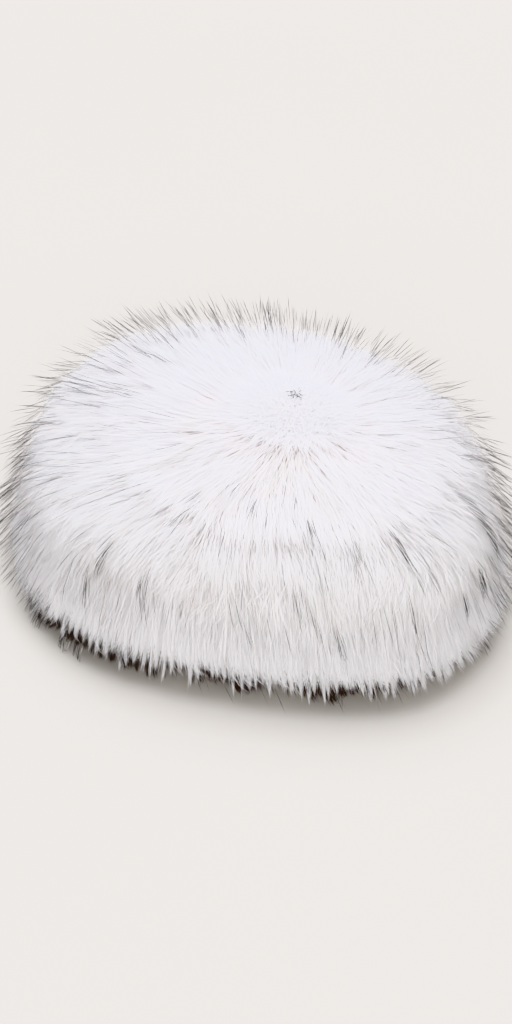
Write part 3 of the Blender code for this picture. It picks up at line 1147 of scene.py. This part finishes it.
@dataclass
class WhitePile:
    """The white coat, combed from the whorl down to the hem, its shades painted lighter on the crown and
    darker on the wall.

    Attributes:
        coat: What all strands share.
        patches: The pieces that it is made in.
        parting_share: How far down from the whorl the cream parting lies.
        parting_bearing: Its bearing.
        parting_spread: How far it reaches up and down, as a share.
        crown_painted_light: The shade at the whorl, from 0 for the coolest to 1 for the warmest, kept cool
            and light as painted light from above.
        wall_painted_shade: How much warmer and darker the strands get from there to the wall, painted shade
            where less light falls.
        hem_painted_light: How much cooler and lighter they get again down to the hem, painted light on the
            low wall.
        parting_cream_and_shade: How much warmer and darker the parting is, partly its cream tone and partly
            painted shade between its locks.
        parting_play: How much that differs from tuft to tuft.
        tuft_play: How much the shade differs from tuft to tuft elsewhere.
        strand_play: How much it differs from strand to strand.
    """

    coat: Coat
    patches: tuple = WHITE_PATCHES
    parting_share: float = 0.15
    parting_bearing: float = 186.0
    parting_spread: float = 0.08
    crown_painted_light: float = 0.06
    wall_painted_shade: float = 0.30
    hem_painted_light: float = 0.22
    parting_cream_and_shade: float = 0.22
    parting_play: float = 0.24
    tuft_play: float = 0.05
    strand_play: float = 0.12

    def shade(self, rng: np.random.Generator, share: np.ndarray, bearing: np.ndarray) -> np.ndarray:
        """Work out each strand's shade: cool and light on the crown, warmer and darker in the low locks and
        lighter again at the hem, all painted light and shade, and warmer at the parting, its cream tone with
        painted shade.
        """
        near_side = np.cos(bearing - math.radians(self.parting_bearing))
        off = (share - self.parting_share) / self.parting_spread
        parting = np.exp(-(off**2)) * smooth_step(0.2, 0.9, near_side)
        streaks = self.coat.tuft_tint[self.coat.tufts.nearest(share, bearing)]
        # Painted light and shade: cool and light at the crown, warmer and darker down to the wall.
        tone_and_painted_shade = self.crown_painted_light + self.wall_painted_shade * smooth_step(0.08, 0.45, share)
        tone_and_painted_shade = tone_and_painted_shade + self.tuft_play * streaks
        # Painted light: cooler and lighter again towards the hem.
        tone_and_painted_shade = tone_and_painted_shade - self.hem_painted_light * smooth_step(0.40, 0.80, share)
        # The parting's cream tone, with painted shade between its locks.
        tone_and_painted_shade = tone_and_painted_shade + parting * (self.parting_cream_and_shade + self.parting_play * streaks)
        return np.clip(tone_and_painted_shade + self.strand_play * rng.normal(0, 1, len(share)), 0.0, 1.0)

    def build(self, finish: bpy.types.Material) -> None:
        """Grow every patch."""
        for number, patch in enumerate(self.patches):
            rng = np.random.default_rng(SEED + 10 + number)
            share, bearing = self.coat.form.scatter(rng, patch.strands, patch.weight(self.coat.form))
            paths = self.coat.grow(rng, share, bearing, patch.growth, PILE_STRAND.stations)
            piece = lay_strands(patch.name, PILE_STRAND, paths, self.shade(rng, share, bearing))
            settle(piece, finish)


@dataclass
class HemTuftsAndShade:
    """The dark tufts that show between the white points of the hem, dark-tipped hair that also paints the
    shade under the hem.

    Attributes:
        coat: What all strands share.
        strands: How many strands they have.
        start: The share of the way down where their roots start.
        end: The share where they end.
        darkest: The bearing where they stand closest, where the painted shade under the hem is darkest.
        growth: How they grow.
    """

    coat: Coat
    strands: int = 9500
    start: float = 0.82
    end: float = 0.94
    darkest: float = 193.0
    growth: Growth = Growth(
        length=0.027, length_vary=0.35, half_width=0.00018, depth=0.012, inset=0.0025, lie=1.2,
        sunk=0.004, lift=0.001, splay=0.8, reach=0.010, lock_pull=0.2, tuft_pull=0.4, sway=0.004,
        stray=0.001, flare=0.82, lowest=0.968, ragged=0.024, points=0.5, point_shift=0.5,
        straight=0.6, brighten=0.0,
    )

    def build(self, finish: bpy.types.Material) -> None:
        """Grow the tufts, densest where they paint the shade under the hem."""
        rng = np.random.default_rng(SEED + 31)
        form = self.coat.form
        cell_share, cell_bearing = form.cells()
        inside = (cell_share >= self.start) & (cell_share < self.end)
        # Denser towards the front, where the tufts paint the shade under the hem.
        darker = 0.10 + 0.90 * smooth_step(0.4, 1.0, np.cos(cell_bearing - math.radians(self.darkest)))
        patches = darker * (0.8 + 0.5 * self.coat.fine_drift.at(cell_share, cell_bearing))
        share, bearing = form.scatter(rng, self.strands, inside * np.clip(patches, 0.1, None))
        paths = self.coat.grow(rng, share, bearing, self.growth, PILE_STRAND.stations)
        piece = lay_strands("hem_dark_tufts_and_painted_shade", PILE_STRAND, paths, rng.random(len(share)))
        settle(piece, finish)


BOLD_GUARDS = Growth(
    length=0.042, length_vary=0.3, half_width=0.00012, depth=0.008, lie=1.0, sunk=0.0,
    lift=0.0260, lift_late=1.15, lift_rare=0.45, lock_pull=0.1, tuft_pull=0.7, sway=0.003,
    stray=0.0020, twist=180.0, waver=0.0002, splay=0.9, reach=0.008, flare=0.80, lowest=0.935,
    straight=0.85,
)
FINE_GUARDS = Growth(
    length=0.044, length_vary=0.3, half_width=0.000095, depth=0.008, lie=1.1, sunk=0.0,
    lift=0.0210, lift_late=1.3, lift_rare=0.6, lock_pull=0.1, tuft_pull=0.35, sway=0.003,
    stray=0.0026, twist=180.0, waver=0.0002, splay=0.9, reach=0.008, flare=0.80, lowest=0.935,
    straight=0.75,
)
STREAK_HAIRS = Growth(
    length=0.034, length_vary=0.25, half_width=0.00012, depth=0.012, inset=0.0, lie=1.3,
    sunk=0.0, lift=0.0015, lock_pull=0.0, tuft_pull=0.0, lock_crown=0.0, sway=0.0, stray=0.0012,
    twist=180.0, waver=0.0002,
)


@dataclass(frozen=True)
class Streak:
    """A cluster of dark hair tips that the photograph shows on the body of the coat.

    Attributes:
        x: The pixel column of its middle.
        y: The pixel row of its middle.
        hairs: How many hairs it has.
    """

    x: float
    y: float
    hairs: int


WHORL_STAR = Streak(x=296, y=394, hairs=26)
BODY_STREAKS = (
    Streak(x=241, y=494, hairs=3),
    Streak(x=187, y=508, hairs=6),
    Streak(x=260, y=511, hairs=6),
    Streak(x=312, y=541, hairs=5),
    Streak(x=319, y=553, hairs=4),
    Streak(x=407, y=554, hairs=15),
    Streak(x=365, y=570, hairs=5),
    Streak(x=300, y=617, hairs=5),
    Streak(x=310, y=622, hairs=5),
    Streak(x=95, y=562, hairs=10),
    Streak(x=84, y=586, hairs=7),
    Streak(x=136, y=600, hairs=8),
    Streak(x=146, y=596, hairs=4),
    Streak(x=50, y=620, hairs=7),
    Streak(x=73, y=647, hairs=14),
    Streak(x=88, y=655, hairs=12),
    Streak(x=46, y=622, hairs=6),
    Streak(x=41, y=610, hairs=6),
    Streak(x=415, y=617, hairs=4),
    Streak(x=470, y=620, hairs=9),
    Streak(x=494, y=531, hairs=16),
    Streak(x=475, y=506, hairs=9),
    Streak(x=487, y=585, hairs=14),
    Streak(x=478, y=652, hairs=10),
    Streak(x=428, y=421, hairs=3),
    Streak(x=410, y=440, hairs=3),
    Streak(x=119, y=387, hairs=6),
    Streak(x=147, y=351, hairs=7),
    Streak(x=240, y=624, hairs=4),
    Streak(x=336, y=650, hairs=5),
)


@dataclass(frozen=True)
class GuardKind:
    """One kind of the guard hairs that are scattered round the hat.

    Attributes:
        name: The piece's name.
        seed: The seed of its random draws.
        count: How many hairs there are.
        shown: How dense those are that point at the camera, 1 for as dense as elsewhere.
        growth: How they grow.
        strand: The strand that is laid along each path.
    """

    name: str
    seed: int
    count: int
    shown: float
    growth: Growth
    strand: StrandModel


BOLD_KIND = GuardKind("bold_guard_hairs", SEED + 51, 800, 0.07, BOLD_GUARDS, GUARD_STRAND)
FINE_KIND = GuardKind("fine_guard_hairs", SEED + 52, 1900, 0.15, FINE_GUARDS, PILE_STRAND)


@dataclass
class GuardHairs:
    """The long dark-tipped hairs that stand out of the white coat.

    Attributes:
        coat: What all strands share.
        streaks: The clusters that the photograph shows.
        star: The small star of dark hairs beside the whorl.
        star_reach: How far from its middle the star's hairs start, at least and at most.
        star_spread: How far apart their tips end.
        star_bow: How far they bow out of the coat, and how far below its form their tips end.
        star_width: Half the width of one.
        tip_ahead: How much further down a hair's tip lies than its root, as a share.
        cluster_strength: How much denser the hairs are in a cluster.
        least_weight: The weight that every place has.
        dark_place: How far along a streak's hair the middle of its dark part lies.
        streak_length: How far a streak spreads along its hairs.
        streak_width: How far it spreads across them.
    """

    coat: Coat
    streaks: tuple = BODY_STREAKS
    star: Streak = WHORL_STAR
    star_reach: tuple = (0.006, 0.014)
    star_spread: float = 0.0011
    star_bow: float = 0.0010
    star_width: float = 0.00018
    tip_ahead: float = 0.17
    cluster_strength: float = 2.2
    least_weight: float = 0.003
    dark_place: float = 0.80
    streak_length: float = 0.0065
    streak_width: float = 0.0012

    def weight(self, view: np.ndarray, shown: float) -> np.ndarray:
        """Weight the form's cells, in clusters, and sparse on the crown and where the camera looks on.

        Args:
            view: The direction from the hat to the camera.
            shown: How dense the hairs are that point at the camera, 1 for as dense as elsewhere.

        Returns:
            The weights.
        """
        form = self.coat.form
        share, bearing = form.cells()
        tint = self.coat.tuft_tint[self.coat.tufts.nearest(share.ravel(), bearing.ravel())]
        clusters = self.cluster_strength * smooth_step(0.1, 0.9, tint.reshape(share.shape))
        tips = np.minimum(share + self.tip_ahead, 1.0)
        facing = form.read(form.normals, tips, bearing) @ view
        sparse = shown + (1 - shown) * smooth_step(0.50, 0.12, facing)
        sparse = sparse * (1 - 0.5 * smooth_step(-0.25, -0.55, facing))
        low = smooth_step(0.90, 0.78, share) * (1 - 0.50 * smooth_step(0.30, 0.50, share))
        weight = smooth_step(0.14, 0.28, share) * (0.35 + clusters) * sparse * low
        return np.clip(weight, self.least_weight, None)

    def build_kind(self, kind: GuardKind, view: np.ndarray, finish: bpy.types.Material) -> None:
        """Grow the scattered hairs of one kind."""
        rng = np.random.default_rng(kind.seed)
        share, bearing = self.coat.form.scatter(rng, kind.count, self.weight(view, kind.shown))
        paths = self.coat.grow(rng, share, bearing, kind.growth, kind.strand.stations)
        piece = lay_strands(kind.name, kind.strand, paths, rng.random(kind.count))
        settle(piece, finish)

    def build_star(self, studio: "Studio", finish: bpy.types.Material) -> None:
        """Lay the short dark hairs that meet in a star beside the whorl."""
        rng = np.random.default_rng(SEED + 54)
        form = self.coat.form
        star = self.star
        share, bearing = studio.find(form, star.x, star.y)
        middle = form.read(form.points, np.array([share]), np.array([bearing]))[0]
        turn = rng.uniform(0, FULL_TURN, star.hairs)
        reach = rng.uniform(*self.star_reach, star.hairs)
        start = middle + np.stack([np.cos(turn) * reach, np.sin(turn) * reach, -0.35 * reach], axis=-1)
        end = middle + rng.normal(0, self.star_spread, (star.hairs, 3)) - self.star_bow * UP
        along = np.array(GUARD_STRAND.stations)[None, :, None]
        points = start[:, None] * (1 - along) + end[:, None] * along
        points[..., 2] += self.star_bow * np.sin(along[..., 0] * math.pi)
        forward = unit(np.gradient(points, axis=1))
        up = np.broadcast_to(UP, points.shape)
        side = unit(np.cross(up, forward))
        width = np.full(star.hairs, self.star_width)
        paths = Paths(points, up, side, unit(np.cross(forward, side)), width)
        piece = lay_strands("whorl_star_hair", GUARD_STRAND, paths, rng.random(star.hairs))
        settle(piece, finish)

    def build_streaks(self, studio: "Studio", finish: bpy.types.Material) -> None:
        """Grow the clusters of the photograph where the camera sees them."""
        rng = np.random.default_rng(SEED + 53)
        form = self.coat.form
        shares, bearings = [], []
        for streak in self.streaks:
            share, bearing = studio.find(form, streak.x, streak.y)
            here, there = np.array([share]), np.array([bearing])
            fall = np.linalg.norm(form.read(form.down, here, there))
            around = max(np.linalg.norm(form.read(form.around, here, there)), 0.02)
            back = self.dark_place * STREAK_HAIRS.length + rng.normal(0, self.streak_length, streak.hairs)
            shares.append(share - back / fall)
            aside = rng.normal(0, self.streak_width, streak.hairs) - self.coat.sweep(here, there) * back
            bearings.append(bearing + aside / around)
        share = np.clip(np.concatenate(shares), 0.002, None)
        bearing = np.concatenate(bearings)
        paths = self.coat.grow(rng, share, bearing, STREAK_HAIRS, GUARD_STRAND.stations)
        piece = lay_strands("dark_hair_streaks", GUARD_STRAND, paths, rng.random(len(share)))
        settle(piece, finish)


@dataclass
class Underfur:
    """The dense wool under the strands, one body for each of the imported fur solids.

    Attributes:
        coat: What all strands share.
        sunk: How far below the solids' faces the wool lies.
        middle: The point that it is drawn in towards.
        wall: The length of the coat that a height is compared with, to tell where the hem is tucked in.
        softened: How many times the wool is smoothed.
        smoothing: How far it is smoothed each time.
    """

    coat: Coat
    sunk: float = 0.0125
    middle: Vector = field(default_factory=lambda: Vector((0.0, 0.0, 0.010)))
    wall: float = 0.21
    softened: int = 7
    smoothing: float = 0.4

    def build_body(self, node: str, finish: bpy.types.Material) -> None:
        """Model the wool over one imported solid, which it replaces.

        Args:
            node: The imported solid's node.
            finish: Its material.
        """
        mesh = bmesh.new()
        mesh.from_mesh(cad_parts[node].data)
        bmesh.ops.remove_doubles(mesh, verts=mesh.verts, dist=1e-5)
        bmesh.ops.subdivide_edges(mesh, edges=mesh.edges, cuts=1, use_grid_fill=True)
        mesh.normal_update()
        places = np.array([v.co for v in mesh.verts])
        share = 1 - places[:, 2] / self.wall
        shift = self.coat.hem_shift(share, np.arctan2(places[:, 1], places[:, 0]))
        for vert, moved in zip(mesh.verts, np.minimum(shift, 0.0)):
            outward = (vert.co - self.middle).normalized()
            if vert.normal.dot(outward) > 0.1:
                vert.co -= outward * (self.sunk - moved)
            vert.co.z = max(vert.co.z, FLOOR_CLEARANCE)
        for _ in range(self.softened):
            bmesh.ops.smooth_vert(
                mesh,
                verts=mesh.verts,
                factor=self.smoothing,
                use_axis_x=True,
                use_axis_y=True,
                use_axis_z=True,
            )
        data = bpy.data.meshes.new(node + "_underfur")
        mesh.to_mesh(data)
        mesh.free()
        data.shade_smooth()
        piece = bpy.data.objects.new(node + "_underfur", data)
        bpy.context.scene.collection.objects.link(piece)
        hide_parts(node)
        settle(piece, finish)

    def build(self, finish: bpy.types.Material) -> None:
        """Model all three bodies."""
        self.build_body("crown_fur", finish)
        self.build_body("side_fur", finish)
        self.build_body("hem_fur", finish)


@dataclass
class PeltCap:
    """The leather cap that the fur grows on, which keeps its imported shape."""

    node: str = "cap_skin"

    def build(self, finish: bpy.types.Material) -> None:
        """Give the cap its leather."""
        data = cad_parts[self.node].data
        data.materials.clear()
        data.materials.append(finish)
        LOG.info("%s: packed shape, suede finish", self.node)


@dataclass(frozen=True)
class Panel:
    """A wide light panel, so far off that it lights the floor evenly.

    Attributes:
        name: The lamp's name.
        bearing: Where it hangs, 0 behind the hat as the camera sees it, 90 at the camera's right.
        height: Its height above the horizon.
        width: How wide it looks from the hat.
        power: How strong it is.
        colour: The colour of its light.
    """

    name: str
    bearing: float
    height: float
    width: float
    power: float
    colour: str


TOP_PANEL = Panel("top_panel", bearing=-20.0, height=76.0, width=55.0, power=3.85, colour="F1F4FF")
FRONT_PANEL = Panel("front_panel", bearing=176.0, height=28.0, width=70.0, power=2.15, colour="FFFDFC")


@dataclass
class Studio:
    """The pale floor, the soft light and the camera at the photograph's angle.

    Attributes:
        azimuth: The camera's bearing, 0 looking along +Y.
        elevation: Its height above the horizon.
        distance: Its distance from the target.
        target: The point that its place is worked out from.
        aim_down: How far below the target it aims, along its own up.
        aim_left: How far left of the target it aims, along its own right.
        lens: Its focal length in millimetres.
        sensor: Its sensor's longer side in millimetres.
        nearest: How near the camera sees.
        farthest: How far it sees.
        floor_radius: The floor's size.
        panels: The light panels.
        panel_distance: How far from the hat their lamps hang, which changes nothing in their light.
        air: How strong the light from all round is.
        air_colour: Its colour.
    """

    azimuth: float = -48.8
    elevation: float = 38.2
    distance: float = 1.2
    target: Vector = field(default_factory=lambda: Vector((0.0, 0.0, 0.060)))
    aim_down: float = 0.0203
    aim_left: float = 0.0018
    lens: float = 71.2
    sensor: float = 36.0
    nearest: float = 0.05
    farthest: float = 60.0
    floor_radius: float = 7.0
    panels: tuple = (TOP_PANEL, FRONT_PANEL)
    panel_distance: float = 2.4
    air: float = 0.84
    air_colour: str = "FBFAFD"

    def sight_line(self) -> tuple[Vector, Vector]:
        """Work out the camera's place and the point that it aims at."""
        turn, rise = math.radians(self.azimuth), math.radians(self.elevation)
        back = Vector(
            (math.sin(turn) * math.cos(rise), -math.cos(turn) * math.cos(rise), math.sin(rise))
        )
        right = Vector((math.cos(turn), math.sin(turn), 0.0))
        up = back.cross(right)
        place = self.target + back * self.distance
        return place, self.target - up * self.aim_down - right * self.aim_left

    def find(self, form: FurForm, x: float, y: float) -> tuple[float, float]:
        """Find the place on the fur's form that the camera sees at a pixel of the photograph.

        Args:
            form: The fur's form.
            x: The pixel's column.
            y: The pixel's row.

        Returns:
            The place's share and bearing.
        """
        place, aim = self.sight_line()
        turned = np.array((aim - place).to_track_quat("-Z", "Y").to_matrix())
        seen = (form.points - np.array(place)) @ turned
        scale = self.lens / self.sensor * PHOTO_HEIGHT
        across = PHOTO_WIDTH / 2 - scale * seen[..., 0] / seen[..., 2]
        down = PHOTO_HEIGHT / 2 + scale * seen[..., 1] / seen[..., 2]
        miss = np.hypot(across - x, down - y)
        facing = np.einsum("ijk,ijk->ij", form.normals, np.array(place) - form.points)
        miss = np.where(facing > 0, miss, np.inf)
        row, column = np.unravel_index(np.argmin(miss), miss.shape)
        return float(form.shares[row]), float(form.bearings[column])

    def build_camera(self) -> None:
        """Place the camera."""
        place, aim = self.sight_line()
        data = bpy.data.cameras.new("camera")
        data.lens = self.lens
        data.sensor_width = self.sensor
        data.clip_start = self.nearest
        data.clip_end = self.farthest
        camera = bpy.data.objects.new("camera", data)
        camera.location = place
        camera.rotation_euler = (aim - place).to_track_quat("-Z", "Y").to_euler()
        bpy.context.scene.collection.objects.link(camera)
        bpy.context.scene.camera = camera

    def build_floor(self, finish: bpy.types.Material) -> None:
        """Lay the floor."""
        mesh = bmesh.new()
        bmesh.ops.create_circle(mesh, cap_ends=True, segments=96, radius=self.floor_radius)
        data = bpy.data.meshes.new("floor")
        mesh.to_mesh(data)
        mesh.free()
        data.materials.append(finish)
        floor = bpy.data.objects.new("floor", data)
        bpy.context.scene.collection.objects.link(floor)
        floor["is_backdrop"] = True

    def hang(self, panel: Panel) -> None:
        """Hang a light panel."""
        data = bpy.data.lights.new(panel.name, "SUN")
        data.angle = math.radians(panel.width)
        data.energy = panel.power
        data.color = linear(panel.colour)[:3]
        lamp = bpy.data.objects.new(panel.name, data)
        turn, rise = math.radians(self.azimuth - panel.bearing), math.radians(panel.height)
        away = Vector(
            (-math.sin(turn) * math.cos(rise), math.cos(turn) * math.cos(rise), math.sin(rise))
        )
        lamp.location = self.target + away * self.panel_distance
        lamp.rotation_euler = away.to_track_quat("Z", "Y").to_euler()
        bpy.context.scene.collection.objects.link(lamp)

    def build_light(self) -> None:
        """Light the hat softly from above and from the front, with a near-white fill all round."""
        world = bpy.data.worlds.new("studio_air")
        world.use_nodes = True
        background = world.node_tree.nodes["Background"]
        background.inputs["Color"].default_value = linear(self.air_colour)
        background.inputs["Strength"].default_value = self.air
        bpy.context.scene.world = world
        for panel in self.panels:
            self.hang(panel)
        bpy.context.scene.view_settings.view_transform = "Khronos PBR Neutral"


def main() -> None:
    """Build the studio and then the hat, from the leather out."""
    logging.basicConfig(level=logging.INFO, format="%(name)s %(message)s")
    low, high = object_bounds()

    studio = Studio()
    studio.build_camera()
    studio.build_light()
    studio.build_floor(PaperFinish().build())

    coat = Coat(FurForm(Vector(low), Vector(high)))
    PeltCap().build(SuedeFinish().build())
    Underfur(coat).build(UnderfurFinish("woolly_underfur", "F5F2F1", "E6DED8").build())
    WhitePile(coat).build(WHITE_PILE.build())
    HemTuftsAndShade(coat).build(DARK_TUFT_AND_SHADE.build())
    guards = GuardHairs(coat)
    place, aim = studio.sight_line()
    view = np.array((place - aim).normalized())
    black_tips = GUARD_HAIR.build()
    guards.build_kind(BOLD_KIND, view, black_tips)
    guards.build_kind(FINE_KIND, view, FINE_HAIR.build())
    guards.build_streaks(studio, black_tips)
    guards.build_star(studio, black_tips)

    low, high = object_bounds()


if __name__ == "__main__":
    main()
